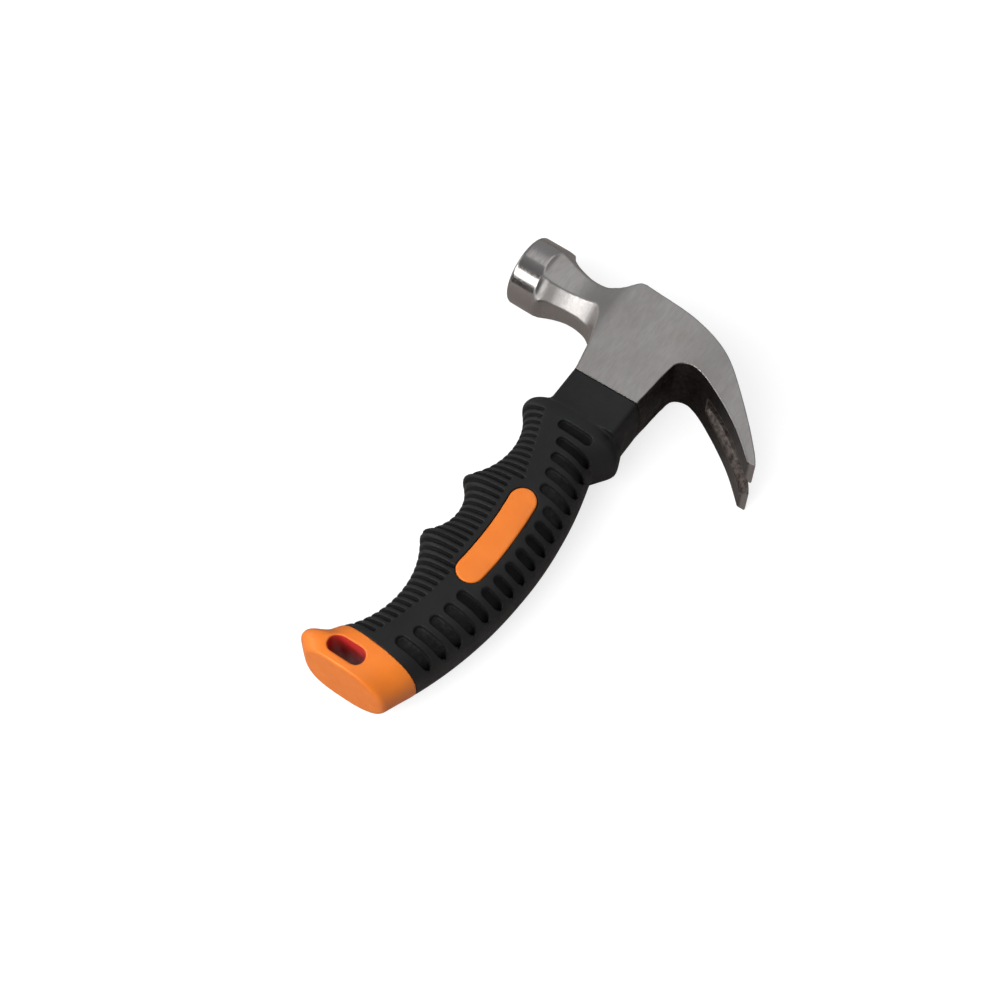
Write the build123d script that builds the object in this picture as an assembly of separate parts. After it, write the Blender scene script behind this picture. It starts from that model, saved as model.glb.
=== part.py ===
from build123d import *
import math
import os

# Short claw hammer, lying on its side. All lengths are in millimetres.
# +X points to the claws, -X to the striking face, +Y from the handle to the head, +Z up.
# Z = 0 is the surface the hammer lies on, and the hammer is symmetric about its middle plane.
# All shapes are drawn about that middle plane, with Y = 0 at the joint of steel and rubber.
# At the end they are placed so that the origin is under the middle of the whole hammer.

# Head
CHEEK_HALF_THICKNESS = 10.3
CHEEK_HALF_WIDTH = 10.3
EYE_BOSS_HALF_WIDTH = 12.0        # at the middle plane, where the boss bulges
EYE_BOSS_HEIGHT = 14.0
CHEEK_CORNER_RADIUS = 1.0
POLL_RADIUS = 11.0
POLL_FACE_X = -45.2
POLL_SHOULDER_X = -36.4
POLL_RIM_CHAMFER = 1.1
POLL_AXIS_Y = 26.14               # height of the poll's axis above the joint, at X = 0
POLL_AXIS_TILT = 1.52             # degrees that the poll's axis rises towards the face
NECK_HALF_WIDTH = 7.2
CLAW_TIP_HALF_WIDTH = 12.6
CLAW_TIP = (49.6, -1.3)
CLAW_CORNER_RADIUS = 1.6
SLOT_ROOT_X = 23.0
SLOT_ROOT_HALF_WIDTH = 0.9
SLOT_TIP_HALF_WIDTH = 3.0

# Eye, handle core and its adhesive
CORE_WIDTH = 12.0
CORE_THICKNESS = 9.0
CORE_CORNER = 3.0
CORE_TOP_Y = 32.6
CORE_BOTTOM_Y = -86.0
EYE_MOUTH = (15.6, 12.6)          # width and thickness of the eye at its ends
EYE_WAIST = (14.0, 11.0)          # and at its waist
EYE_CORNER = 4.4
EYE_WAIST_Y = 17.0
EYE_TOP_Y = 37.0
SEAL_THICKNESS = 1.5

# Handle
COLLAR_LENGTH = 9.0
HANDLE_TOP_Y = -6.0
HANDLE_END_Y = -111.2
SECTION_POWER = 2.35              # how square a section of the handle is: 2 is an ellipse
SECTION_POINTS = 24
OUTER_STEP = 2.9                  # between the sections that shape the handle's outside
INNER_STEP = 4.6                  # and between those of the surfaces inside it
FINGER_SCALLOPS = (               # centre X, centre Y, radius of each finger's hollow
    (-33.3, -29.4, 21.1),
    (-26.1, -54.5, 13.2),
    (-38.2, -81.3, 26.8),
)
PALM_CENTRE = (-104.4, -58.0)     # the palm side is one long arc
PALM_RADIUS = 120.0
BEAK_X = -25.4                    # tip of the butt's beak, on the finger side
BEAK_Y = -107.3
END_CORNER_RADIUS = 2.4
BUTT_CUT_Y = -100.0               # top of the bare butt, at X = -12
BUTT_CUT_SLOPE = -4.0             # degrees
RUBBER_THICKNESS = 2.6

# Window in each broad side, where the handle body shows through the grip
WINDOW_RADIUS = 107.4             # of its centre line, about the palm's centre
WINDOW_TOP_Y = -44.2
WINDOW_BOTTOM_Y = -69.2
WINDOW_WIDTH = 8.2

# Hanging hole
HOLE_CENTRE = (-10.6, -106.2)
HOLE_LENGTH = 11.2
HOLE_WIDTH = 5.2

# Slots moulded across the palm side of the grip
SLOT_COUNT = 17
SLOT_FIRST_Y = -17.9
SLOT_PITCH = 4.9
SLOT_WIDTH = 3.2
SLOT_DEPTH = 1.4
SLOT_RIM = 1.1

TALL = 60.0                       # longer than anything it cuts


def soft_min(a, b, blend):
    """The smaller of two values, with the corner between them rounded off."""
    return (a + b - math.hypot(a - b, blend)) / 2


def soft_max(a, b, blend):
    """The larger of two values, with the corner between them rounded off."""
    return (a + b + math.hypot(a - b, blend)) / 2


def ramp(value, low, high):
    """0 below low, 1 above high, and a smooth curve between."""
    t = min(max((value - low) / (high - low), 0.0), 1.0)
    return t * t * (3 - 2 * t)


def palm_arc(y, radius):
    """X of an arc about the palm's centre."""
    return PALM_CENTRE[0] + math.sqrt(radius**2 - (y - PALM_CENTRE[1]) ** 2)


def finger_side(y):
    """Distance from X = 0 to the finger side: three hollows, a guard above and a beak below."""
    out = -BEAK_X
    for centre_x, centre_y, radius in FINGER_SCALLOPS:
        across = radius**2 - (y - centre_y) ** 2
        if across > 0:
            out = soft_min(out, -centre_x - math.sqrt(across), 1.2)
    if y > -30:
        guard = 18.2 - 1.9 * soft_max(0.0, y + 12.4, 1.0)
        out = soft_min(out, soft_max(guard, 11.8, 0.5), 0.8)
    end_slant = -BEAK_X - 1.2 * soft_max(0.0, BEAK_Y - y, 0.6)
    return soft_min(out, end_slant, 0.6)


def palm_side(y):
    """Distance from X = 0 to the palm side: a long arc with a guard above it."""
    guard_top = 14.9 - 0.42 * (y + 15.6)
    guard_foot = 14.9 + 0.85 * (y + 16.2)
    guard = soft_min(guard_top, guard_foot, 1.0)
    out = soft_max(palm_arc(y, PALM_RADIUS), guard, 0.8)
    below = max(0.0, HANDLE_END_Y + END_CORNER_RADIUS - y)
    return out - END_CORNER_RADIUS + math.sqrt(max(END_CORNER_RADIUS**2 - below**2, 0.0))


def half_thickness(y):
    """Half of the handle's thickness: thin in the collar, full from the first finger down."""
    grown = 10.1 + 1.4 * ramp(-y, 8.0, 17.0)
    eased = 0.4 * ramp(-y, 70.0, 100.0)
    end = 1.1 * ramp(-y, 108.5, 111.2)
    return grown - eased - end


def handle_section(y, inset):
    """A closed curve round the handle at one height, set in by a distance."""
    left = finger_side(y) - inset
    right = palm_side(y) - inset
    middle = (right - left) / 2
    half_width = (right + left) / 2
    thick = half_thickness(y) - inset
    points = []
    for i in range(SECTION_POINTS):
        angle = 2 * math.pi * i / SECTION_POINTS
        cosine = math.cos(angle)
        sine = math.sin(angle)
        x = middle + half_width * math.copysign(abs(cosine) ** (2 / SECTION_POWER), cosine)
        z = thick * math.copysign(abs(sine) ** (2 / SECTION_POWER), sine)
        points.append(Vector(x, y, z))
    return Wire(Edge.make_spline(points, periodic=True))


def handle_solid(inset, top, bottom, step):
    """The handle's outer shape between two heights, set in by a distance."""
    count = round((top - bottom) / step)
    heights = [top - (top - bottom) * i / count for i in range(count + 1)]
    return Solid.make_loft([handle_section(y, inset) for y in heights])


def bulged_section(half_width, bulge, half_thick, corner):
    """A rectangle in X and Z whose two short sides bulge out, with rounded corners."""
    a = (half_width, -half_thick)
    b = (half_width + bulge, 0)
    d = (half_width, half_thick)
    outline = [
        ThreePointArc(a, b, d),
        Line(d, (-half_width, half_thick)),
        ThreePointArc((-half_width, half_thick), (-b[0], 0), (-half_width, -half_thick)),
        Line((-half_width, -half_thick), a),
    ]
    face = make_face(Curve() + outline)
    return fillet(face.vertices(), corner)


def prism(sketch, low, high):
    """A section in X and Z, drawn flat, as a solid between two heights along Y."""
    # Plane.XZ looks along -Y, so a sketch on it keeps X and turns its own Y into Z.
    return extrude(Plane.XZ.offset(-low) * sketch, amount=low - high)


def side_view():
    """Outline of the head in X and Y, running past the poll, which is cut to shape later."""
    axis_far = POLL_AXIS_Y + 1.3
    neck_low = (-35.6, axis_far - 11.4)
    neck_high = (-35.2, axis_far + 11.6)
    heel_left = (-CHEEK_HALF_WIDTH, 0)
    heel_right = (CHEEK_HALF_WIDTH, 0)
    crotch_start = (11.6, 13.5)
    claw_root = (19.6, 18.9)
    claw_edge = (47.5, -1.7)
    crown_end = (-9.2, 36.3)
    crown_foot = (-11.9, 35.1)
    root_slope = (1, -0.45)
    edges = [
        Spline(neck_low, (-30.6, 18.3), (-26.0, 19.4), (-21.5, 18.9), (-17.2, 16.9),
               (-13.9, 12.6), (-11.5, 6.0), heel_left),
        Line(heel_left, heel_right),
        Line(heel_right, crotch_start),
        Spline(crotch_start, (12.6, 17.8), (15.8, 19.5), claw_root, tangents=((0.1, 1), root_slope)),
        Spline(claw_root, (29.4, 13.5), (38.5, 6.9), claw_edge, tangents=(root_slope, (0.62, -0.8))),
        Line(claw_edge, CLAW_TIP),
        Spline(CLAW_TIP, (46.4, 3.3), (35.2, 16.3), (22.0, 28.7), (10.0, 33.9), crown_end),
        Spline(crown_end, (-10.9, 36.1), crown_foot),
        Spline(crown_foot, (-15.2, 33.7), (-19.6, 32.8), (-23.5, 32.8), (-27.6, 33.2),
               (-32.4, 35.4), neck_high),
        Polyline(neck_high, (-50, axis_far + 20), (-50, 5), neck_low),
    ]
    return make_face(Curve() + edges)


def scoop(deep, wide):
    """The material beyond one of the neck's hollow facets, in X and distance from the poll's axis."""
    start = (POLL_SHOULDER_X, POLL_RADIUS + 0.2)
    finish = (wide + 1.6, 14.0)
    sky = 30.0
    curve = Spline(start, (-35.3, 9.7), (-31.5, deep + 0.9), (-24.0, deep), (-18.5, deep + 0.8),
                   (wide, 10.4), finish)
    return make_face(curve + Polyline(finish, (finish[0], sky), (start[0], sky), start))


def poll_frame():
    """The poll's axis: at its own height, tilted so that it rises towards the face."""
    return Location((0, POLL_AXIS_Y, 0), (0, 0, -POLL_AXIS_TILT))


def poll_limit():
    """Everything inside the poll's cylinder, and all space beyond its shoulder."""
    rim = POLL_RIM_CHAMFER
    profile = Polyline((POLL_FACE_X, 0), (POLL_FACE_X, POLL_RADIUS - rim - 0.9),
                       (POLL_FACE_X + 0.35, POLL_RADIUS - rim), (POLL_FACE_X + rim + 0.2, POLL_RADIUS),
                       (-34.2, POLL_RADIUS), (-33.0, TALL), (TALL, TALL), (TALL, 0), close=True)
    return revolve(make_face(profile), Axis.X)


def thickness_view():
    """Outline of the head in X and Z: poll, neck and cheek straight, claws splayed."""
    cheek = CHEEK_HALF_THICKNESS
    end_x = CLAW_TIP[0] + 0.2
    half = [(-50, 14), (-34.5, 14), (-14, cheek), (13, cheek), (30, cheek + 1.2),
            (end_x, CLAW_TIP_HALF_WIDTH)]
    mirrored = [(x, -z) for x, z in reversed(half)]
    outline = make_face(Polyline(*half, *mirrored, close=True))
    return fillet(outline.vertices().group_by(Axis.X)[-1], CLAW_CORNER_RADIUS)


def nail_slot():
    """The tapering gap between the claws, with a round root."""
    end_x = CLAW_TIP[0] + 4
    taper = Polyline((SLOT_ROOT_X, -SLOT_ROOT_HALF_WIDTH), (SLOT_ROOT_X, SLOT_ROOT_HALF_WIDTH),
                     (end_x, SLOT_TIP_HALF_WIDTH), (end_x, -SLOT_TIP_HALF_WIDTH), close=True)
    outline = make_face(taper) + Pos(SLOT_ROOT_X, 0) * Circle(SLOT_ROOT_HALF_WIDTH)
    return prism(outline, -20, TALL)


def poll_and_neck(block):
    """The block cut to the round poll and to the hollow facets of the neck behind it."""
    frame = poll_frame()
    block &= frame * poll_limit()
    for turn in (45, 90, 135, 225, 270, 315):
        hollow_end = -14.5 if turn in (90, 270) else -13.5
        cut = extrude(scoop(NECK_HALF_WIDTH, hollow_end), amount=TALL, both=True)
        block -= frame * Rot(turn, 0, 0) * cut
    return block


def make_head():
    """One forging: poll, faceted neck, cheek with the eye through it, and two claws."""
    block = extrude(side_view(), amount=TALL / 2, both=True)
    block &= prism(thickness_view(), -30, TALL)
    boss = prism(collar_section(), 0, EYE_BOSS_HEIGHT)
    return poll_and_neck(block) + boss - eye_space() - nail_slot()


def upright(y):
    """A plane across the handle at one height, with its own Y along Z."""
    return Plane(origin=(0, y, 0), x_dir=(1, 0, 0), z_dir=(0, -1, 0))


def eye_space():
    """The eye: wide at both ends and narrow at the waist, so that the adhesive locks in it."""
    mouth = RectangleRounded(*EYE_MOUTH, EYE_CORNER)
    waist = RectangleRounded(*EYE_WAIST, EYE_CORNER)
    sections = [upright(-1) * mouth, upright(EYE_WAIST_Y) * waist, upright(EYE_TOP_Y) * mouth]
    return loft(sections, ruled=True)


def handle_core():
    """The fibreglass rod that runs from the top of the eye down through the handle."""
    section = RectangleRounded(CORE_WIDTH, CORE_THICKNESS, CORE_CORNER)
    return extrude(upright(CORE_TOP_Y) * section, amount=CORE_TOP_Y - CORE_BOTTOM_Y)


def band(low, high):
    """All space between two heights along Y."""
    return Pos(0, (low + high) / 2, 0) * Box(2 * TALL, high - low, 2 * TALL)


def eye_seal(core):
    """A thin washer round the core that closes the mouth of the eye."""
    return (eye_space() & band(0, SEAL_THICKNESS)) - core


def eye_epoxy(core):
    """The adhesive that fills the eye round the core, level with the top of the head."""
    under_crown = extrude(side_view(), amount=TALL / 2, both=True)
    return (eye_space() & band(SEAL_THICKNESS, TALL) & under_crown) - core


def collar_section():
    """The section that the steel and the rubber share where they meet."""
    bulge = EYE_BOSS_HALF_WIDTH - CHEEK_HALF_WIDTH
    return bulged_section(CHEEK_HALF_WIDTH, bulge, CHEEK_HALF_THICKNESS, CHEEK_CORNER_RADIUS)


def below_butt_cut():
    """All space below the slanted line where the rubber ends."""
    block = Pos(0, -TALL / 2, 0) * Box(2 * TALL, TALL, 2 * TALL)
    return Pos(-12, BUTT_CUT_Y, 0) * Rot(0, 0, BUTT_CUT_SLOPE) * block


def window_prism():
    """The curved slot shape of the window, right through the handle."""
    def on_line(y):
        return (palm_arc(y, WINDOW_RADIUS), y)

    middle_y = (WINDOW_TOP_Y + WINDOW_BOTTOM_Y) / 2
    line = ThreePointArc(on_line(WINDOW_TOP_Y), on_line(middle_y), on_line(WINDOW_BOTTOM_Y))
    return extrude(SlotArc(line, WINDOW_WIDTH), amount=TALL / 2, both=True)


def hanging_hole():
    """The oval hole through the butt."""
    slot = Pos(*HOLE_CENTRE) * SlotOverall(HOLE_LENGTH, HOLE_WIDTH)
    return extrude(slot, amount=TALL / 2, both=True)


def handle_body(outer, core):
    """The hard moulding: inner handle, bare butt with its hole, and a pad in each window."""
    inner = handle_solid(RUBBER_THICKNESS, -12.0, -104.0, INNER_STEP)
    neck = extrude(upright(-SEAL_THICKNESS) * RectangleRounded(16.6, 14.0, 4.0), amount=14)
    butt = outer & below_butt_cut()
    pads = (outer & window_prism())
    return neck + inner + butt + pads - core - hanging_hole()


def slot_ends(k, y):
    """Inner and outer X of a palm slot: short beside the window, longer above and below it."""
    if k == 0:
        return (-3.8, 7.1)
    if k < 5:
        inner = -1.1 + 1.53 * (k - 1)
    elif k < 12:
        inner = palm_arc(y, WINDOW_RADIUS) + WINDOW_WIDTH / 2 + 1.9
    else:
        inner = 3.7 - 0.25 * (k - 12) - 0.28 * (k - 12) ** 2
    return (inner, palm_side(y) - SLOT_RIM)


def palm_slots():
    """Slots across the palm side of both faces, with round ends, down to an even depth."""
    slots = Sketch()
    for k in range(SLOT_COUNT):
        y = SLOT_FIRST_Y - SLOT_PITCH * k
        inner, outer = slot_ends(k, y)
        slots += Pos((inner + outer) / 2, y) * SlotOverall(outer - inner, SLOT_WIDTH)
    floor = handle_solid(SLOT_DEPTH, -12.0, -104.0, INNER_STEP)
    return extrude(slots, amount=TALL / 2, both=True) - floor


def make_grip(outer, body, core):
    """The rubber overmould: collar and slotted handle skin, less the body inside it."""
    collar = prism(collar_section(), -COLLAR_LENGTH, 0)
    skin = (outer - below_butt_cut()) + collar
    return skin - body - core - palm_slots()


def centre_and_floor(shapes):
    """The move that puts the origin under the middle of all the shapes together."""
    box = shapes[0].bounding_box()
    for shape in shapes[1:]:
        box = box.add(shape.bounding_box())
    return Pos(-box.center().X, -box.center().Y, -box.min.Z)


os.makedirs("parts", exist_ok=True)
core = handle_core()
outer = handle_solid(0.0, HANDLE_TOP_Y, HANDLE_END_Y, OUTER_STEP)
body = handle_body(outer, core)
nodes = {
    "hammer_head": make_head(),
    "handle_core": core,
    "eye_seal": eye_seal(core),
    "eye_epoxy": eye_epoxy(core),
    "handle_body": body,
    "grip": make_grip(outer, body, core),
}
move = centre_and_floor(list(nodes.values()))
for name, shape in nodes.items():
    export_step(move * shape, f"parts/{name}.step")
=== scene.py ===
import math

import bpy
import numpy as np
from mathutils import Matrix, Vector


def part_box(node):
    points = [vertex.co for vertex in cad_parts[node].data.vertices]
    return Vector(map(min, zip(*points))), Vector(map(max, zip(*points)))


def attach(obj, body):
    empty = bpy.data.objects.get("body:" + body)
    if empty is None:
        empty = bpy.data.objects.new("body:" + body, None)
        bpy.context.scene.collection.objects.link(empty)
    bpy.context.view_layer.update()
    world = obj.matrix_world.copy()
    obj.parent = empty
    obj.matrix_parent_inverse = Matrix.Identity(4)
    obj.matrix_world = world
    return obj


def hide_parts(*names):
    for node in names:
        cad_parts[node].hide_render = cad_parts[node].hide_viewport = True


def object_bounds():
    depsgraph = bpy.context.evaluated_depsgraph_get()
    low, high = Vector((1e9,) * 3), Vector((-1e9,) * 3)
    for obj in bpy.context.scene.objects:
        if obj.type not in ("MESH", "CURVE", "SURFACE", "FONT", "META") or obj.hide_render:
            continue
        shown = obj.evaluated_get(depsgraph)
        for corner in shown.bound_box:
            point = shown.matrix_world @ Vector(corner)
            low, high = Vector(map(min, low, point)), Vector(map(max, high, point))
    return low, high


# Short claw hammer lying on its side. Shapes are worked out in millimetres about the hammer's
# middle plane (z = 0), with y = 0 at the joint of steel and rubber, and are placed in the frame
# by the CAD nodes' boxes. A field is a function of x, y, z that is negative inside the solid.

MM = 0.001

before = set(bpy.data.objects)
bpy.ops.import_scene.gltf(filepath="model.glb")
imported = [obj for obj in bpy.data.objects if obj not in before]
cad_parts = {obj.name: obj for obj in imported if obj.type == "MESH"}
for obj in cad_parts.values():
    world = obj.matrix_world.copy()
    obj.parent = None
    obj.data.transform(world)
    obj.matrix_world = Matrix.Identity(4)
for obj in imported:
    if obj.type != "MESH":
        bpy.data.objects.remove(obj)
cad_low, cad_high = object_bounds()

# ---------------------------------------------------------------- sizes, in millimetres
# Head: a poll on a slightly tilted axis, flat cheeks with a bulged boss at the joint, and the claws
CLAW_TIP_X = 49.6
CHEEK_HALF = 10.3                 # half of the cheek's thickness, and of its width at the joint
BOSS_BULGE = 1.7
BOSS_HEIGHT = 14.0
POLL_RADIUS = 10.99
POLL_FACE_X = -45.17
POLL_RIM = 1.1                    # radius of the rim of the striking face
POLL_END = -33.5                  # where the poll gives way to the neck, along its axis
POLL_AXIS_Y = 26.14
POLL_AXIS_TILT = math.radians(1.52)
EYE_HALF_X, EYE_HALF_Z, EYE_CORNER = 7.8, 6.3, 4.0

# Nail slot between the claws: half widths of its gap, and of the mouth of its bevels
SLOT_ROOT_X, SLOT_ROOT_Y = 24.1, 16.6
ROOT_LEAN_X, ROOT_LEAN_Y = 0.87, 0.49      # the direction that the slot's root faces
ROOT_GAP, GAP_GROWTH = 2.0, 1.0
ROOT_MOUTH, MOUTH_GROWTH, MOUTH_RUN = 3.2, 1.6, 5.0
BEVEL_SLOPE, BEVEL_SCALE = 1.5, 0.555      # the scale turns the bevel's field into a distance

# Handle: three finger hollows with a guard above and a beak below, against one long palm arc
HANDLE_END_Y = -111.23
END_CORNER_RADIUS = 1.4
SECTION_POWER, BEAK_SECTION_POWER = 2.35, 3.0
FINGER_SCALLOPS = ((-32.0, -29.1, 19.6), (-25.5, -54.1, 12.2), (-38.2, -82.0, 26.5))
FINGER_GUARD_X, FINGER_GUARD_Y, FINGER_GUARD_SLOPE = 18.7, -11.6, 3.9
FINGER_TOP_X = 11.8               # the finger side above the guard, inside the collar
BEAK_X, BEAK_Y, BEAK_SLANT = -25.7, -107.7, 1.2
HOOK_Y, HOOK_DEPTH, HOOK_SPREAD = -103.3, 1.3, 2.0
PALM_X, PALM_Y, PALM_RADIUS = -104.0, -58.5, 119.8
PALM_GUARD_X = 14.9
PALM_GUARD_TOP_Y, PALM_GUARD_TOP_SLOPE = -15.6, -0.42
PALM_GUARD_FOOT_Y, PALM_GUARD_FOOT_SLOPE = -16.2, 0.85
TOP_HALF_THICKNESS, THICKENING, EASING, END_THINNING = 10.1, 1.4, 0.4, 0.3

# Parts of the handle
RUBBER_THICKNESS = 2.6
COLLAR_MIDDLE_Y, COLLAR_HALF_LENGTH, COLLAR_CORNER = -6.0, 6.0, 1.0
SHOULDER_Y = -5.5                 # top of the handle's skin, inside the collar
CORE_MIDDLE_Y, CORE_HALF_LENGTH = -58.0, 46.0
NECK_MIDDLE_Y, NECK_HALF_LENGTH = -9.0, 7.5
NECK_HALF_X, NECK_HALF_Z, NECK_CORNER = 8.3, 7.0, 3.0
BUTT_CUT_X, BUTT_CUT_Y, BUTT_CUT_SLOPE = -12.0, -100.0, math.radians(-4.0)
WINDOW_RADIUS, WINDOW_TOP_Y, WINDOW_BOTTOM_Y, WINDOW_HALF = 107.0, -44.2, -69.2, 4.1
PAD_SINK, PAD_GAP = 0.03, 0.16    # how far the orange pad is below the rubber, and from its edge
HOLE_X, HOLE_Y, HOLE_LENGTH, HOLE_WIDTH = -10.6, -106.2, 11.2, 5.2

# Slots across the palm side, and fine grooves across the finger side
SLOT_COUNT, SLOT_FIRST_Y, SLOT_PITCH, SLOT_HALF, SLOT_DEPTH = 17, -17.9, 4.9, 1.6, 1.4
FIRST_SLOT_INNER_X, FIRST_SLOT_OUTER_X = -3.8, 7.1
FIRST_SLOT_BY_WINDOW, FIRST_SLOT_BELOW_WINDOW = 5, 12
SLOT_WINDOW_MARGIN, SLOT_RIM = 1.9, 1.1
GROOVE_COUNT, GROOVE_FIRST_Y, GROOVE_PITCH, GROOVE_HALF, GROOVE_DEPTH = 38, -16.2, 2.2, 0.55, 0.8
GROOVE_WINDOW_MARGIN = 1.6
GROOVE_WINDOW_FROM_Y, GROOVE_WINDOW_TO_Y = -39.0, -71.0

head_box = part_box("hammer_head")
grip_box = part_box("grip")
MIDDLE_Z = (cad_low.z + cad_high.z) / 2
SHIFT = np.array([head_box[1].x / MM - CLAW_TIP_X, grip_box[1].y / MM, MIDDLE_Z / MM])


def to_frame(points):
    """Millimetres about the middle plane to metres in the row frame."""
    return (np.asarray(points, float) + SHIFT) * MM


# ---------------------------------------------------------------- field tools
def soft_min(a, b, blend):
    """The smaller value, with the change from one to the other smoothed over the blend."""
    return (a + b - np.hypot(a - b, blend)) / 2


def soft_max(a, b, blend):
    """The larger value, smoothed in the same way."""
    return (a + b + np.hypot(a - b, blend)) / 2


def ramp(value, low, high):
    """0 below low, 1 above high, and a smooth curve between."""
    t = np.clip((value - low) / (high - low), 0, 1)
    return t * t * (3 - 2 * t)


def both(a, b, radius):
    """Where two solids overlap, with the edge between them rounded to a radius."""
    corner = np.hypot(np.maximum(a + radius, 0), np.maximum(b + radius, 0))
    return np.minimum(-radius, np.maximum(a, b)) + corner


def either(a, b, radius):
    """Two solids together, with the inside corner between them filled to a radius."""
    return -both(-a, -b, radius)


def without(a, b, radius):
    """The first solid less the second, with a rounded edge."""
    return both(a, -b, radius)


def surface(name, field, low, high, step, marks=None, rounds=3):
    """A closed mesh on the zero surface of a field: one vertex in each cell that the surface crosses.

    marks is a function of the vertices and their normals that gives named values for the material."""
    low, high, step = np.array(low, float), np.array(high, float), np.array(step, float)
    counts = np.ceil((high - low) / step).astype(int) + 1
    xs, ys, zs = (low[i] + step[i] * np.arange(counts[i]) for i in range(3))
    values = np.empty(counts, np.float32)
    slab = 24
    for start in range(0, counts[1], slab):
        part = ys[start:start + slab]
        values[:, start:start + slab] = field(xs[:, None, None], part[None, :, None], zs[None, None, :])
    inside = values < 0

    corners = [(i, j, k) for i in (0, 1) for j in (0, 1) for k in (0, 1)]
    cells = tuple(c - 1 for c in counts)

    def corner_view(grid, corner):
        return grid[tuple(slice(o, o + n) for o, n in zip(corner, cells))]

    total = sum(corner_view(inside, c).astype(np.int8) for c in corners)
    active = np.argwhere((total > 0) & (total < 8))
    at = {c: values[tuple((active + c).T)].astype(float) for c in corners}
    middle, crossings = np.zeros((len(active), 3)), np.zeros(len(active))
    for a in corners:
        for axis in range(3):
            if a[axis]:
                continue
            b = tuple(v + (n == axis) for n, v in enumerate(a))
            crossed = (at[a] < 0) != (at[b] < 0)
            share = at[a][crossed] / (at[a][crossed] - at[b][crossed])
            points = np.tile(np.array(a, float), (crossed.sum(), 1))
            points[:, axis] += share
            middle[crossed] += points
            crossings[crossed] += 1
    vertices = low + (active + middle / crossings[:, None]) * step

    number = np.full(cells, -1, np.int32)
    number[tuple(active.T)] = np.arange(len(active))
    quads = []
    for axis in range(3):
        u, v = (axis + 1) % 3, (axis + 2) % 3
        here = [slice(1, -1)] * 3
        here[axis] = slice(0, -1)
        there = list(here)
        there[axis] = slice(1, None)
        starts = inside[tuple(here)]
        ends = inside[tuple(there)]
        base = np.argwhere(starts != ends)
        outward = starts[tuple(base.T)]
        base[:, u] += 1
        base[:, v] += 1
        ring = []
        for du, dv in ((-1, -1), (0, -1), (0, 0), (-1, 0)):
            cell = base.copy()
            cell[:, u] += du
            cell[:, v] += dv
            ring.append(number[tuple(cell.T)])
        ring = np.stack(ring, 1)
        ring[~outward] = ring[~outward][:, ::-1]
        quads.append(ring)
    quads = np.concatenate(quads)

    def value(points):
        return np.asarray(field(points[:, 0], points[:, 1], points[:, 2]), float)

    reach = 0.02
    normals = np.zeros_like(vertices)
    for turn in range(rounds + 1):
        centre = value(vertices)
        for axis in range(3):
            shifted = vertices.copy()
            shifted[:, axis] += reach
            normals[:, axis] = (value(shifted) - centre) / reach
        length = np.maximum(np.linalg.norm(normals, axis=1), 1e-3)
        if turn < rounds:
            move = np.clip(centre / length, -0.4 * step.min(), 0.4 * step.min())
            vertices -= normals / length[:, None] * move[:, None]
    normals /= length[:, None]

    mesh = bpy.data.meshes.new(name)
    mesh.vertices.add(len(vertices))
    mesh.vertices.foreach_set("co", to_frame(vertices).astype(np.float32).ravel())
    mesh.loops.add(4 * len(quads))
    mesh.loops.foreach_set("vertex_index", quads.astype(np.int32).ravel())
    mesh.polygons.add(len(quads))
    mesh.polygons.foreach_set("loop_start", np.arange(0, 4 * len(quads), 4, dtype=np.int32))
    mesh.polygons.foreach_set("use_smooth", np.ones(len(quads), bool))
    mesh.update(calc_edges=True)
    mesh.validate()
    mesh.normals_split_custom_set_from_vertices([tuple(n) for n in normals])
    for mark, values in (marks(vertices, normals) if marks else {}).items():
        layer = mesh.attributes.new(mark, "FLOAT", "POINT")
        layer.data.foreach_set("value", np.asarray(values, np.float32))
    made = bpy.data.objects.new(name, mesh)
    bpy.context.scene.collection.objects.link(made)
    return made


def smooth_curve(points, spread=14):
    """Points along a smooth curve through the given ones."""
    points = np.array(points, float)
    ahead = np.vstack([2 * points[0] - points[1], points, 2 * points[-1] - points[-2]])
    out = []
    for p0, p1, p2, p3 in zip(ahead, ahead[1:], ahead[2:], ahead[3:]):
        a, b, c = (max(np.hypot(*(q - p)), 1e-6) ** 0.5 for p, q in ((p0, p1), (p1, p2), (p2, p3)))
        m1 = p2 - p1 + b * ((p1 - p0) / a - (p2 - p0) / (a + b))
        m2 = p2 - p1 + b * ((p3 - p2) / c - (p3 - p1) / (b + c))
        for t in np.arange(spread) / spread:
            out.append(p1 * (2 * t**3 - 3 * t**2 + 1) + m1 * (t**3 - 2 * t**2 + t)
                       + p2 * (3 * t**2 - 2 * t**3) + m2 * (t**3 - t**2))
    return out + [points[-1]]


def outline_distance(x, y, outline):
    """Signed distance in a plane to a closed outline, negative inside."""
    x, y = np.broadcast_arrays(np.asarray(x, float), np.asarray(y, float))
    nearest = np.full(x.shape, 1e9)
    inside = np.zeros(x.shape, bool)
    ends = np.roll(outline, -1, axis=0)
    for (ax, ay), (bx, by) in zip(outline, ends):
        dx, dy = bx - ax, by - ay
        if dx * dx + dy * dy < 1e-12:
            continue
        t = np.clip(((x - ax) * dx + (y - ay) * dy) / (dx * dx + dy * dy), 0, 1)
        nearest = np.minimum(nearest, (x - ax - t * dx) ** 2 + (y - ay - t * dy) ** 2)
        crosses = (ay > y) != (by > y)
        inside ^= crosses & (x < ax + (y - ay) * dx / (dy if dy else 1e-9))
    return np.where(inside, -1, 1) * np.sqrt(nearest)


# ---------------------------------------------------------------- handle
def palm_arc(y, radius):
    """x of an arc about the palm's centre."""
    return PALM_X + np.sqrt(np.maximum(radius**2 - (y - PALM_Y) ** 2, 1.0))


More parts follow.
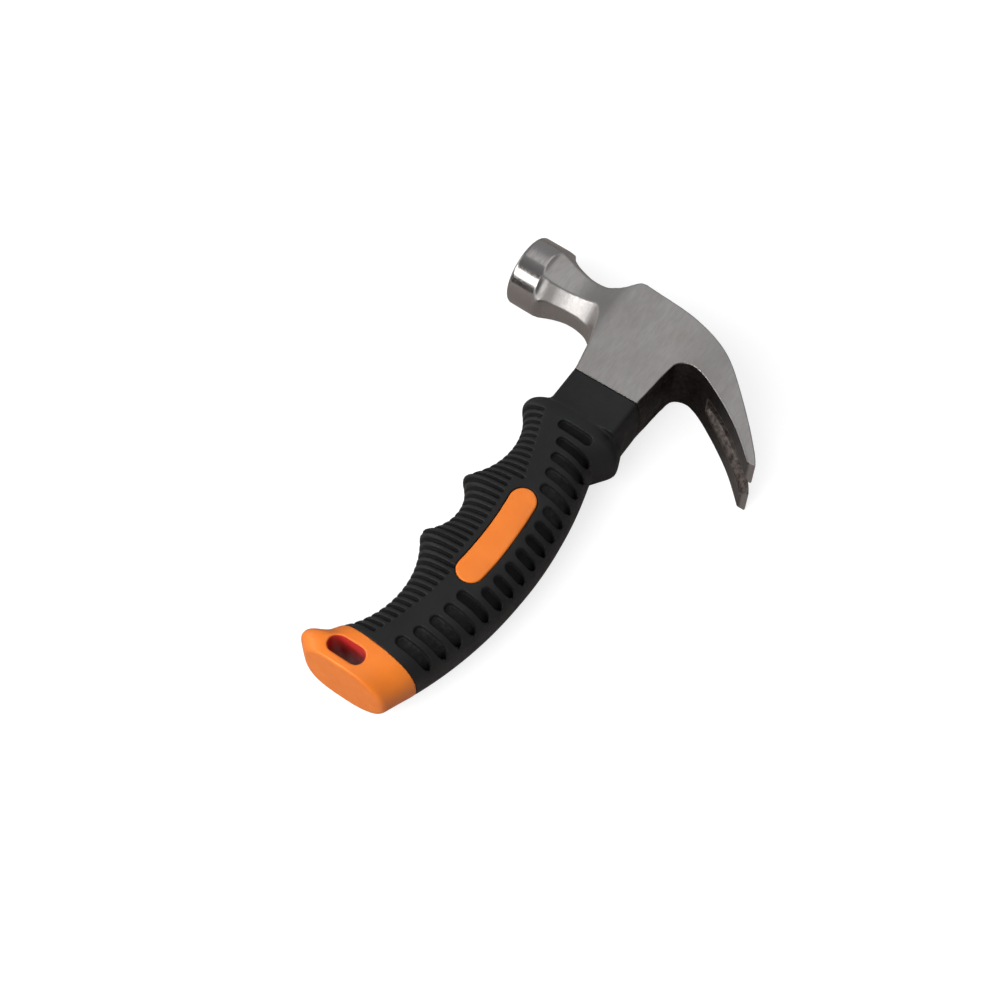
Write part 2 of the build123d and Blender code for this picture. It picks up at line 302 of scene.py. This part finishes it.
def finger_side(y):
    """Distance from x = 0 to the finger side: three hollows, a guard above and a beak below."""
    out = np.full(np.shape(y), -BEAK_X)
    for cx, cy, radius in FINGER_SCALLOPS:
        across = radius**2 - (y - cy) ** 2
        hollow = soft_min(out, -cx - np.sqrt(np.maximum(across, 0)), 1.5)
        out = np.where(across > 0, hollow, out)
    guard = FINGER_GUARD_X - FINGER_GUARD_SLOPE * soft_max(0.0, y - FINGER_GUARD_Y, 1.0)
    out = np.where(y > -30, soft_min(out, soft_max(guard, FINGER_TOP_X, 0.5), 0.8), out)
    out = out - HOOK_DEPTH * np.exp(-(((y - HOOK_Y) / HOOK_SPREAD) ** 2))
    end_slant = -BEAK_X - BEAK_SLANT * soft_max(0.0, BEAK_Y - y, 0.6)
    return soft_min(out, end_slant, 0.6)


def palm_side(y):
    """Distance from x = 0 to the palm side: a long arc with a guard above it."""
    guard_top = PALM_GUARD_X + PALM_GUARD_TOP_SLOPE * (y - PALM_GUARD_TOP_Y)
    guard_foot = PALM_GUARD_X + PALM_GUARD_FOOT_SLOPE * (y - PALM_GUARD_FOOT_Y)
    out = soft_max(palm_arc(y, PALM_RADIUS), soft_min(guard_top, guard_foot, 1.0), 0.8)
    below = np.clip(HANDLE_END_Y + END_CORNER_RADIUS - y, 0, END_CORNER_RADIUS)
    return out - END_CORNER_RADIUS + np.sqrt(END_CORNER_RADIUS**2 - below**2)


def half_thickness(y):
    """Half of the handle's thickness: thin in the collar, full at the fingers, eased at the butt."""
    grown = TOP_HALF_THICKNESS + THICKENING * ramp(-y, 8.0, 17.0)
    return grown - EASING * ramp(-y, 70.0, 100.0) - END_THINNING * ramp(-y, 110.6, 111.8)


def section_power(y, finger_half):
    """How square the handle's section is, where 2 is an ellipse. It is squarest at the beak."""
    grown = (BEAK_SECTION_POWER - SECTION_POWER) * ramp(-y, 96.0, 108.0)
    return SECTION_POWER + np.where(finger_half, grown, 0.0)


def handle_skin(x, y, z):
    """Distance to the handle's outer surface, without its two ends."""
    reach = 0.05                  # step along y for slopes
    y = np.asarray(y, float)

    def shape(level):
        left, right = finger_side(level), palm_side(level)
        return (right - left) / 2, (right + left) / 2, half_thickness(level)

    middle, half, thick = shape(y)
    ahead = shape(y + reach)
    middle_by, half_by, thick_by = ((a - b) / reach for a, b in zip(ahead, (middle, half, thick)))
    u, v = (x - middle) / half, z / thick
    power = section_power(y, u < 0)
    size = np.maximum((np.abs(u) ** power + np.abs(v) ** power) ** (1 / power), 0.05)
    by_u = (np.abs(u) / size) ** (power - 1) * np.sign(u)
    by_v = (np.abs(v) / size) ** (power - 1) * np.sign(v)
    by_y = -by_u * (middle_by + u * half_by) / half - by_v * v * thick_by / thick
    slope = np.sqrt((by_u / half) ** 2 + (by_v / thick) ** 2 + by_y**2)
    return (size - 1) / np.maximum(slope, 0.02)


def bulged_side(x, z):
    """Distance beyond the bulged narrow sides that the collar and the head's boss share."""
    bulge = BOSS_BULGE * (1 - np.clip(z / CHEEK_HALF, -1, 1) ** 2)
    return np.abs(x) - CHEEK_HALF - bulge


def collar(x, z):
    """The collar under the head, whose two narrow sides bulge."""
    return both(bulged_side(x, z), np.abs(z) - CHEEK_HALF, COLLAR_CORNER)


def above_butt_cut(x, y):
    """Height above the slanted line where the rubber ends."""
    along = np.tan(BUTT_CUT_SLOPE) * (x - BUTT_CUT_X)
    return (y - BUTT_CUT_Y - along) * math.cos(BUTT_CUT_SLOPE)


def window(x, y):
    """Distance in plan to the curved slot shape of the window."""
    turn = np.arctan2(y - PALM_Y, x - PALM_X)
    top = math.asin((WINDOW_TOP_Y - PALM_Y) / WINDOW_RADIUS)
    bottom = math.asin((WINDOW_BOTTOM_Y - PALM_Y) / WINDOW_RADIUS)
    nearest = np.clip(turn, bottom, top)
    middle_x = PALM_X + WINDOW_RADIUS * np.cos(nearest)
    middle_y = PALM_Y + WINDOW_RADIUS * np.sin(nearest)
    return np.hypot(x - middle_x, y - middle_y) - WINDOW_HALF


def slot_inner(k, y):
    """x of a palm slot's inner end, which keeps clear of the window beside it."""
    upper = -1.1 + 1.53 * (k - 1)
    beside = palm_arc(y, WINDOW_RADIUS) + WINDOW_HALF + SLOT_WINDOW_MARGIN
    past = k - FIRST_SLOT_BELOW_WINDOW
    lower = 3.7 - 0.25 * past - 0.28 * past**2
    rows = [k == 0, k < FIRST_SLOT_BY_WINDOW, k < FIRST_SLOT_BELOW_WINDOW]
    return np.select(rows, [FIRST_SLOT_INNER_X + 0 * y, upper, beside], lower)


def palm_slot(x, y):
    """Distance in plan to the nearest palm slot."""
    k = np.clip(np.round((SLOT_FIRST_Y - y) / SLOT_PITCH), 0, SLOT_COUNT - 1)
    level = SLOT_FIRST_Y - SLOT_PITCH * k
    inner = slot_inner(k, level) + SLOT_HALF
    outer = np.where(k == 0, FIRST_SLOT_OUTER_X, palm_side(level) - SLOT_RIM) - SLOT_HALF
    return np.hypot(x - np.clip(x, inner, outer), y - level) - SLOT_HALF


def finger_groove(x, y):
    """Distance in plan to the nearest of the finger grooves."""
    k = np.clip(np.round((GROOVE_FIRST_Y - y) / GROOVE_PITCH), 0, GROOVE_COUNT - 1)
    level = GROOVE_FIRST_Y - GROOVE_PITCH * k
    above = -1.7 - 0.375 * (level + 37.4)
    beside = palm_arc(level, WINDOW_RADIUS) - WINDOW_HALF - GROOVE_WINDOW_MARGIN
    past = np.maximum(-74.4 - level, 0)
    below = -1.3 - 0.14 * past - 0.0055 * past**2
    rows = [level > GROOVE_WINDOW_FROM_Y, level > GROOVE_WINDOW_TO_Y]
    inner = np.select(rows, [above, beside], below)
    return np.hypot(np.maximum(x - inner + GROOVE_HALF, 0), y - level) - GROOVE_HALF


def carved(skin, plan, depth, rim, root):
    """A skin with a shape sunk into it to a depth, with its rim and the foot of its walls rounded."""
    return both(skin, soft_min(-plan, skin + depth, root), rim)


def body_core(x, y, z, skin):
    """The hard moulding inside the rubber."""
    inner = both(skin + RUBBER_THICKNESS, np.abs(y - CORE_MIDDLE_Y) - CORE_HALF_LENGTH, 1.0)
    neck = both(np.abs(x) - NECK_HALF_X, np.abs(z) - NECK_HALF_Z, NECK_CORNER)
    neck = both(neck, np.abs(y - NECK_MIDDLE_Y) - NECK_HALF_LENGTH, 0.3)
    return np.minimum(inner, neck)


def grip_field(x, y, z):
    """The rubber: the collar and the handle's skin, slotted and grooved, less the moulding inside."""
    skin = handle_skin(x, y, z)
    shoulder = both(skin, y - SHOULDER_Y, 1.2)
    band = both(collar(x, z), np.abs(y - COLLAR_MIDDLE_Y) - COLLAR_HALF_LENGTH, 0.35)
    outer = either(shoulder, band, 0.9)
    outer = carved(outer, palm_slot(x, y), SLOT_DEPTH, 0.35, 0.5)
    outer = carved(outer, finger_groove(x, y), GROOVE_DEPTH, 0.28, 0.3)
    outer = without(outer, window(x, y), 0.3)
    outer = both(outer, -above_butt_cut(x, y), 0.25)
    return np.maximum(outer, -body_core(x, y, z, skin))


def hanging_hole(x, y):
    """Distance in plan to the oval hole through the butt."""
    straight = (HOLE_LENGTH - HOLE_WIDTH) / 2
    return np.hypot(np.maximum(np.abs(x - HOLE_X) - straight, 0), y - HOLE_Y) - HOLE_WIDTH / 2


def body_field(x, y, z):
    """The orange moulding: the bare butt, the pads in the windows and what is inside the rubber."""
    skin = handle_skin(x, y, z)
    butt = both(skin, above_butt_cut(x, y), 0.25)
    butt = both(butt, HANDLE_END_Y - y, 0.55)
    pad = both(skin + PAD_SINK, window(x, y) + PAD_GAP, 0.45)
    core = body_core(x, y, z, skin)
    whole = np.minimum(np.minimum(butt, pad), core)
    return without(whole, hanging_hole(x, y), 0.5)


# ---------------------------------------------------------------- steel head
COLLAR_TO_CROTCH = [(10.3, 0.0), (10.9, 6.0), (11.6, 13.5), (12.6, 17.8), (15.8, 19.5)]
CLAW_INNER_POINTS = [(19.6, 18.9), (29.4, 13.5), (38.5, 6.9), (47.5, -1.7)]
CLAW_TIP_POINTS = [(47.7, -2.6), (48.6, -2.2), (48.8, -0.9), (48.2, 0.5)]
CLAW_OUTER_POINTS = [(46.4, 3.3), (35.2, 16.3), (22.0, 28.7), (10.0, 33.9)]
CROWN = (-9.2, 36.28)
CLAW_INNER = np.array(smooth_curve([COLLAR_TO_CROTCH[-1]] + CLAW_INNER_POINTS))


def head_outline():
    """The head's side view, running past the poll and the neck's ends, which are cut later."""
    far = POLL_AXIS_Y + 1.3       # the tilted axis at the far end of the poll
    under = smooth_curve([
        (-35.6, far - 11.4), (-33.0, 17.7), (-30.0, 18.55), (-26.0, 19.15), (-22.0, 19.0), (-18.2, 18.0),
        (-15.4, 16.2), (-13.6, 13.9), (-12.4, 10.4), (-11.4, 5.6), (-10.3, 0.0)])
    crotch = smooth_curve(COLLAR_TO_CROTCH + CLAW_INNER_POINTS)
    outer = smooth_curve(CLAW_TIP_POINTS + CLAW_OUTER_POINTS + [CROWN])
    top = smooth_curve([
        CROWN, (-10.8, 35.88), (-12.2, 34.5), (-14.0, 32.3), (-16.0, 31.0), (-18.5, 30.5), (-21.0, 30.6),
        (-24.0, 31.2), (-27.5, 32.2), (-30.5, 33.2), (-33.0, 35.0), (-35.2, far + 11.6)])
    heel = [(-10.3, -3.0), (10.3, -3.0)]
    return np.array(under + heel + crotch + outer + top + [(-50, far + 20), (-50, 5)], float)


HEAD_OUTLINE = head_outline()
INNER_LINE = np.array(smooth_curve(COLLAR_TO_CROTCH + CLAW_INNER_POINTS, 4))
OUTER_LINE = np.array(smooth_curve([(CLAW_TIP_X, -1.3)] + CLAW_OUTER_POINTS, 4))

# Hollow faces: place along the head, and distance from the poll's axis or from the middle plane
FACET_DIAGONAL = np.array(smooth_curve([
    (-36.3, 11.2), (-36.0, 10.85), (-35.3, 10.4), (-33.5, 9.85), (-30.0, 8.65), (-26.0, 7.75),
    (-23.5, 7.63), (-20.0, 8.0), (-18.0, 8.65), (-16.1, 10.45), (-14.85, 12.25), (-13.9, 14.1),
    (-12.95, 16.4), (-12.3, 20.0), (-12.0, 80.0)]))
BROAD_SIDE = np.array(smooth_curve([
    (-37.6, 13.5), (-36.9, 11.2), (-36.3, 10.3), (-35.5, 9.75), (-33.5, 9.0), (-30.0, 7.9), (-27.0, 7.35),
    (-24.0, 7.3), (-21.0, 7.75), (-18.0, 8.75), (-16.0, 9.5), (-14.0, 10.08), (-12.0, 10.28), (-10.0, 10.3),
    (-8.0, 10.3)]))


def broad_side(x):
    """Half of the head's thickness along x: hollow at the neck, flat cheeks, splayed claws."""
    splay = 1.2 * ramp(x, 10.0, 32.0) + 1.05 * np.clip((x - 28.0) / 21.0, 0, 2)
    return np.interp(x, BROAD_SIDE[:, 0], BROAD_SIDE[:, 1]) + splay


def facet(along, away, profile):
    """Distance beyond a hollow facet whose distance from the poll's axis changes along it."""
    places, widths = profile.T
    width = np.interp(along, places, widths)
    reach = 0.3
    ahead = np.interp(along + reach, places, widths)
    behind = np.interp(along - reach, places, widths)
    slope = np.clip((ahead - behind) / (2 * reach), -4, 4)
    beyond = (away - width) / np.sqrt(1 + slope**2)
    return np.where(along < places[0], -5.0, beyond)


def inner_depth(x, y):
    """Depth below the claws' inner side."""
    height = np.interp(x, CLAW_INNER[:, 0], CLAW_INNER[:, 1])
    slope = (np.interp(x + 0.5, CLAW_INNER[:, 0], CLAW_INNER[:, 1]) - height) / 0.5
    return (y - height) / np.sqrt(1 + slope**2)


def nail_slot(x, y, z):
    """The gap between the claws, with bevels that widen it on the claws' inner side."""
    along = np.clip((x - SLOT_ROOT_X) / (CLAW_TIP_X - SLOT_ROOT_X), 0, 1.2)
    gap = ROOT_GAP + GAP_GROWTH * along
    mouth = ROOT_MOUTH + MOUTH_GROWTH * (1 - np.exp(-np.maximum(x - SLOT_ROOT_X, 0) / MOUTH_RUN))
    bevel = (np.abs(z) - mouth + BEVEL_SLOPE * inner_depth(x, y)) * BEVEL_SCALE
    sides = np.minimum(np.abs(z) - gap, np.maximum(bevel, gap - mouth))
    behind_root = (SLOT_ROOT_X - x) * ROOT_LEAN_X + (y - SLOT_ROOT_Y) * ROOT_LEAN_Y
    return both(sides, behind_root, 0.4)


def head_field(x, y, z):
    """The forging: its side view within its thickness, then the poll, the facets, the slot and the eye."""
    side = outline_distance(x, y, HEAD_OUTLINE)
    boss = both(bulged_side(x, z), y - BOSS_HEIGHT, 1.0)
    side = np.minimum(side, boss)
    reach = 0.3
    half_by_x = (broad_side(x + reach) - broad_side(x - reach)) / (2 * reach)
    body = both(side, (np.abs(z) - broad_side(x)) / np.sqrt(1 + half_by_x**2), 0.45)

    cosine, sine = math.cos(POLL_AXIS_TILT), math.sin(POLL_AXIS_TILT)
    along = x * cosine - (y - POLL_AXIS_Y) * sine
    up = x * sine + (y - POLL_AXIS_Y) * cosine
    round_poll = both(np.hypot(up, z) - POLL_RADIUS, POLL_FACE_X - along, POLL_RIM)
    body = both(body, np.where(along < POLL_END, round_poll, -5.0), 0.3)
    for sign in (1, -1):
        body = both(body, facet(along, (np.abs(z) + sign * up) / math.sqrt(2), FACET_DIAGONAL), 0.35)
    body = without(body, nail_slot(x, y, z), 0.25)
    eye = both(np.abs(x) - EYE_HALF_X, np.abs(z) - EYE_HALF_Z, EYE_CORNER)
    return np.maximum(without(body, eye, 0.3), -y)


# ---------------------------------------------------------------- pieces
def place(piece, body, node, material):
    """Puts a finished piece on a body, in place of a CAD node."""
    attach(piece, body)
    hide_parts(node)
    piece.data.materials.append(material)
    return piece


def head_marks(points, normals):
    """Where the forging is black, where the nail slot's rough walls are, and the polished poll."""
    x, y, z = points.T
    to_inner = np.abs(outline_distance(x, y, INNER_LINE))
    to_outer = np.abs(outline_distance(x, y, OUTER_LINE))
    upright = 1 - ramp(np.abs(normals[:, 2]), 0.35, 0.7)
    in_slot = 1 - ramp(nail_slot(x, y, z), 0.1, 0.45)
    tip_end = ramp(x, 46.0, 47.0) * ramp(-normals[:, 1], 0.82, 0.92)
    scale = ramp(to_outer - to_inner, -0.4, 0.6) * upright * ramp(x, 9.0, 10.0) * (1 - tip_end)
    seam = (1 - ramp(y, 0.2, 0.42)) * (x < 12)
    faded = 1 - 0.3 * ramp(x, 26.0, 44.0)
    return {"black": np.maximum(scale, seam) * faded * (1 - in_slot), "slot": in_slot,
            "poll": 1 - ramp(x, -37.0, -35.8)}


def grip_marks(points, normals):
    """How far each point is down in the palm slots and in the finger grooves: dust on the slot floors, and
    painted shade deep in both.
    """
    x, y, z = points.T
    skin = handle_skin(x, y, z)
    slot = ramp(-skin, 0.15, 0.9) * (1 - ramp(palm_slot(x, y), -0.5, 0.1))
    painted_recess_shade = ramp(-skin, 0.08, 0.4) * (1 - ramp(finger_groove(x, y), -0.15, 0.1))
    dusty = ramp(-y, 24.0, 30.0) * (1 - ramp(-y, 42.0, 50.0)) + ramp(-y, 74.0, 84.0)
    return {"slot_floor": slot * dusty, "painted_recess_shade": np.maximum(painted_recess_shade, slot * (1 - 0.45 * dusty))}


class Nodes:
    """A material's node tree, built up by short calls."""

    def __init__(self, name):
        self.material = bpy.data.materials.new(name)
        self.material.use_nodes = True
        self.tree = self.material.node_tree
        self.shader = self.tree.nodes["Principled BSDF"]
        self.place = self.tree.nodes.new("ShaderNodeTexCoord").outputs["Object"]

    def add(self, kind, settings=(), **inputs):
        """A new node with its settings and inputs, an input's name having _ for each space."""
        node = self.tree.nodes.new(kind)
        for key, value in dict(settings).items():
            setattr(node, key, value)
        for key, value in inputs.items():
            self.give(node.inputs[key.replace("_", " ")], value)
        return node

    def give(self, socket, value):
        """Links an output to a socket, or sets the socket to a number or a colour."""
        if isinstance(value, bpy.types.NodeSocket):
            self.tree.links.new(value, socket)
        elif isinstance(value, tuple) and len(value) == 3 and socket.type == "RGBA":
            socket.default_value = (*value, 1)
        else:
            socket.default_value = value

    def noise(self, size, detail=3.0, stretch=(1, 1, 1), turn=0.0, rough=0.5):
        """Noise whose features are about size millimetres across, from 0 to 1."""
        spot = self.add("ShaderNodeMapping", Vector=self.place, Rotation=(0, 0, turn), Scale=stretch)
        made = self.add("ShaderNodeTexNoise", Vector=spot.outputs[0], Scale=1000.0 / size, Detail=detail,
                        Roughness=rough)
        return made.outputs["Fac"]

    def spread(self, value, low, high, to_low=0.0, to_high=1.0):
        """A value moved from one range to another."""
        made = self.add("ShaderNodeMapRange")
        for socket, given in zip(made.inputs, (value, low, high, to_low, to_high)):
            self.give(socket, given)
        return made.outputs[0]

    def math(self, kind, a, b):
        made = self.add("ShaderNodeMath", {"operation": kind})
        self.give(made.inputs[0], a)
        self.give(made.inputs[1], b)
        return made.outputs[0]

    def mix(self, share, a, b):
        """One colour where share is 0 and the other where it is 1."""
        made = self.add("ShaderNodeMix", {"data_type": "RGBA"})
        for number, given in ((0, share), (6, a), (7, b)):
            self.give(made.inputs[number], given)
        return made.outputs[2]

    def mark(self, name):
        """The value of a mark that the mesh carries."""
        return self.add("ShaderNodeAttribute", {"attribute_name": name}).outputs["Fac"]

    def bump(self, height, distance, share=1.0, under=None):
        """Raises the surface by height times distance, in millimetres."""
        made = self.add("ShaderNodeBump", Height=height, Distance=distance * MM, Strength=share)
        if under:
            self.tree.links.new(under, made.inputs["Normal"])
        return made.outputs[0]

    def finish(self, **inputs):
        """Gives the shader its inputs and returns the material."""
        for key, value in inputs.items():
            self.give(self.shader.inputs[key.replace("_", " ")], value)
        return self.material


def forged_steel():
    """Satin steel with a fine ground grain, polished at the poll, black scale on the claws' inner side."""
    n = Nodes("forged_steel")
    black, slot, poll = n.mark("black"), n.mark("slot"), n.mark("poll")
    cloud, grain = n.noise(9.0), n.noise(0.5, 2.0, (1.0, 0.16, 1.0), math.radians(-20))
    speck = n.noise(0.7, 4.0, rough=0.7)
    pits = n.noise(1.6, 5.0, rough=0.65)
    colour = n.mix(n.spread(cloud, 0.3, 0.7), (0.45, 0.428, 0.412), (0.50, 0.482, 0.47))
    colour = n.mix(n.spread(grain, 0.35, 0.65, 0.0, 0.16), colour, (0.30, 0.28, 0.27))
    colour = n.mix(n.spread(speck, 0.62, 0.78, 0.0, 0.35), colour, (0.24, 0.215, 0.19))
    dark = n.mix(n.spread(pits, 0.35, 0.7), (0.035, 0.030, 0.028), (0.085, 0.072, 0.066))
    colour = n.mix(black, colour, dark)
    wall = n.mix(n.spread(pits, 0.35, 0.62), (0.09, 0.07, 0.062), (0.30, 0.26, 0.24))
    colour = n.mix(slot, colour, wall)
    rough = n.spread(grain, 0.3, 0.7, 0.36, 0.46)
    rough = n.math("ADD", rough, n.math("MULTIPLY", n.math("MAXIMUM", black, slot), 0.16))
    rough = n.math("SUBTRACT", rough, n.math("MULTIPLY", poll, 0.22))
    relief = n.bump(grain, 0.012)
    relief = n.bump(pits, 0.15, n.math("MAXIMUM", black, slot), relief)
    return n.finish(Base_Color=colour, Metallic=1.0, Roughness=rough, Normal=relief)


def black_rubber():
    """Matt black moulded rubber, with dusty slot floors and painted shade, near black, deep in the grooves
    and slots.
    """
    n = Nodes("black_rubber")
    floor_mark, painted_recess_shade = n.mark("slot_floor"), n.mark("painted_recess_shade")
    cloud, fine, dust = n.noise(14.0), n.noise(0.35, 2.0), n.noise(1.3, 4.0, rough=0.65)
    colour = n.mix(n.spread(cloud, 0.3, 0.7), (0.006, 0.0062, 0.0066), (0.010, 0.010, 0.0105))
    dusty = n.mix(n.spread(dust, 0.4, 0.66), (0.005, 0.005, 0.005), (0.024, 0.023, 0.022))
    colour = n.mix(floor_mark, colour, dusty)
    # painted shade: near black deep in the finger grooves and palm slots, by depth below the skin
    colour = n.mix(painted_recess_shade, colour, (0.0015, 0.0015, 0.0015))
    rough = n.spread(n.noise(3.0), 0.3, 0.7, 0.46, 0.58)
    rough = n.math("ADD", rough, n.math("MULTIPLY", painted_recess_shade, 0.3))
    relief = n.bump(fine, 0.02)
    return n.finish(Base_Color=colour, Roughness=rough, Specular_IOR_Level=0.35, Normal=relief)


def body_marks(points, normals):
    """Where light that has bounced about inside the hanging hole reddens its walls."""
    near_hole = 1 - ramp(hanging_hole(points[:, 0], points[:, 1]), 0.0, 0.3)
    return {"hole": near_hole * (1 - ramp(np.abs(normals[:, 2]), 0.2, 0.7))}


def orange_plastic():
    """Hard orange moulding with a faint mottle and a fine surface grain, redder inside the hole."""
    n = Nodes("orange_plastic")
    cloud, fine = n.noise(7.0), n.noise(0.4, 2.0)
    colour = n.mix(n.spread(cloud, 0.3, 0.7), (0.71, 0.168, 0.014), (0.76, 0.190, 0.018))
    colour = n.mix(n.mark("hole"), colour, (0.55, 0.030, 0.028))
    rough = n.spread(n.noise(2.0, 4.0), 0.3, 0.7, 0.34, 0.46)
    return n.finish(Base_Color=colour, Roughness=rough, Normal=n.bump(fine, 0.012))


def fibre_core():
    """Glass-filled plastic, with short pale fibres along the handle."""
    n = Nodes("fibre_core")
    fibres = n.noise(0.8, 3.0, (1.0, 0.08, 1.0))
    colour = n.mix(n.spread(fibres, 0.45, 0.65), (0.66, 0.15, 0.02), (0.80, 0.33, 0.10))
    rough = n.spread(fibres, 0.3, 0.7, 0.4, 0.6)
    return n.finish(Base_Color=colour, Roughness=rough, Normal=n.bump(fibres, 0.05))


def cured_epoxy():
    """Amber resin with small bubbles."""
    n = Nodes("cured_epoxy")
    bubbles = n.noise(0.9, 2.0, rough=0.4)
    colour = n.mix(n.spread(n.noise(4.0), 0.3, 0.7), (0.30, 0.17, 0.05), (0.42, 0.26, 0.09))
    colour = n.mix(n.spread(bubbles, 0.64, 0.72), colour, (0.55, 0.42, 0.22))
    rough = n.spread(bubbles, 0.3, 0.7, 0.18, 0.36)
    return n.finish(Base_Color=colour, Roughness=rough, Normal=n.bump(bubbles, 0.08))


def seal_bead():
    """Soft dull seal at the mouth of the eye."""
    n = Nodes("seal_bead")
    colour = n.mix(n.spread(n.noise(1.5), 0.35, 0.65), (0.30, 0.20, 0.07), (0.40, 0.29, 0.12))
    return n.finish(Base_Color=colour, Roughness=n.spread(n.noise(0.6), 0.3, 0.7, 0.5, 0.7),
                    Normal=n.bump(n.noise(0.8), 0.06))


forging = surface("hammer_head_forging", head_field, (-46, -3, -13.2), (50.2, 39, 13.2),
                  (0.4, 0.4, 0.4), head_marks)
place(forging, "root", "hammer_head", forged_steel())
rubber = surface("rubber_grip", grip_field, (-22.5, -103, -12.2), (17.5, 1, 12.2),
                 (0.55, 0.32, 0.5), grip_marks)
place(rubber, "root", "grip", black_rubber())
moulding = surface("handle_moulding", body_field, (-26.5, -112.5, -12.2), (17.5, -0.5, 12.2),
                   (0.45, 0.45, 0.45), body_marks)
place(moulding, "root", "handle_body", orange_plastic())

# The core, the adhesive and the seal are plain enough to keep their CAD meshes.
hidden = {"handle_core": fibre_core(), "eye_epoxy": cured_epoxy(), "eye_seal": seal_bead()}
for name, material in hidden.items():
    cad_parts[name].data.materials.clear()
    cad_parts[name].data.materials.append(material)


# ---------------------------------------------------------------- camera
CAMERA_AZIMUTH, CAMERA_ELEVATION = math.radians(34.73), math.radians(60.49)
CAMERA_DISTANCE = 490.05
CAMERA_TARGET = (-6.662, -42.358, 0.0)
CAMERA_LENS = 63.72

back = Vector((math.sin(CAMERA_AZIMUTH) * math.cos(CAMERA_ELEVATION),
               -math.cos(CAMERA_AZIMUTH) * math.cos(CAMERA_ELEVATION),
               math.sin(CAMERA_ELEVATION)))
camera = bpy.data.objects.new("camera", bpy.data.cameras.new("camera"))
bpy.context.scene.collection.objects.link(camera)
camera.data.lens = CAMERA_LENS
camera.data.sensor_width = 36.0
camera.data.clip_start = 0.01
camera.data.clip_end = 20.0
camera.location = Vector(to_frame(CAMERA_TARGET)) + back * CAMERA_DISTANCE * MM
camera.rotation_mode = "QUATERNION"
camera.rotation_quaternion = (-back).to_track_quat("-Z", "Y")
bpy.context.scene.camera = camera


# ---------------------------------------------------------------- floor and light
def floor_plane(name, depth, colour, glow):
    """A plane under the hammer. glow is the light it gives of its own."""
    bpy.ops.mesh.primitive_plane_add(size=6.0, location=(0, 0, -depth))
    plane = bpy.context.object
    plane.name = name
    material = bpy.data.materials.new(name)
    material.use_nodes = True
    shader = material.node_tree.nodes["Principled BSDF"]
    shader.inputs["Base Color"].default_value = (*colour, 1)
    shader.inputs["Roughness"].default_value = 0.9
    shader.inputs["Emission Color"].default_value = (1, 1, 1, 1)
    shader.inputs["Emission Strength"].default_value = glow
    plane.data.materials.append(material)
    return plane


floor = floor_plane("floor", 0.0002, (0.35, 0.35, 0.35), 0.75)
floor.visible_glossy = False
floor.visible_diffuse = False
floor.visible_shadow = False
bounce = floor_plane("bounce_card", 0.004, (0.26, 0.235, 0.225), 0.0)
bounce.visible_camera = False


def area_light(name, direction, distance, size, power):
    """A soft box that faces the hammer from a direction."""
    data = bpy.data.lights.new(name, "AREA")
    data.shape = "RECTANGLE"
    data.size, data.size_y = size
    data.energy = power
    lamp = bpy.data.objects.new(name, data)
    bpy.context.scene.collection.objects.link(lamp)
    away = Vector(direction).normalized()
    lamp.location = away * distance
    lamp.rotation_mode = "QUATERNION"
    lamp.rotation_quaternion = (-away).to_track_quat("-Z", "Y")
    return lamp


world = bpy.data.worlds.new("studio")
bpy.context.scene.world = world
world.use_nodes = True
sky = world.node_tree
towards = sky.nodes.new("ShaderNodeSeparateXYZ")
sky.links.new(sky.nodes.new("ShaderNodeTexCoord").outputs["Generated"], towards.inputs[0])
graded = sky.nodes.new("ShaderNodeMapRange")
sky.links.new(towards.outputs["Y"], graded.inputs["Value"])
for socket, number in zip(("From Min", "From Max", "To Min", "To Max"), (-0.75, 0.1, 0.04, 0.34)):
    graded.inputs[socket].default_value = number
sky.links.new(graded.outputs[0], sky.nodes["Background"].inputs["Strength"])
sky.nodes["Background"].inputs["Color"].default_value = (0.97, 0.98, 1.0, 1)
bpy.context.scene.view_settings.view_transform = "Standard"
area_light("key", (-0.42, -0.78, 0.62), 1.2, (1.5, 0.42), 9.5)
area_light("overhead", (0.12, 0.42, 0.90), 1.6, (1.7, 1.5), 3.6)
area_light("side", (-0.95, -0.10, 0.18), 1.2, (0.9, 0.5), 1.6)
fill = area_light("fill", (-0.1, -0.65, 0.75), 1.5, (1.0, 1.0), 19.0)
fill.visible_glossy = False
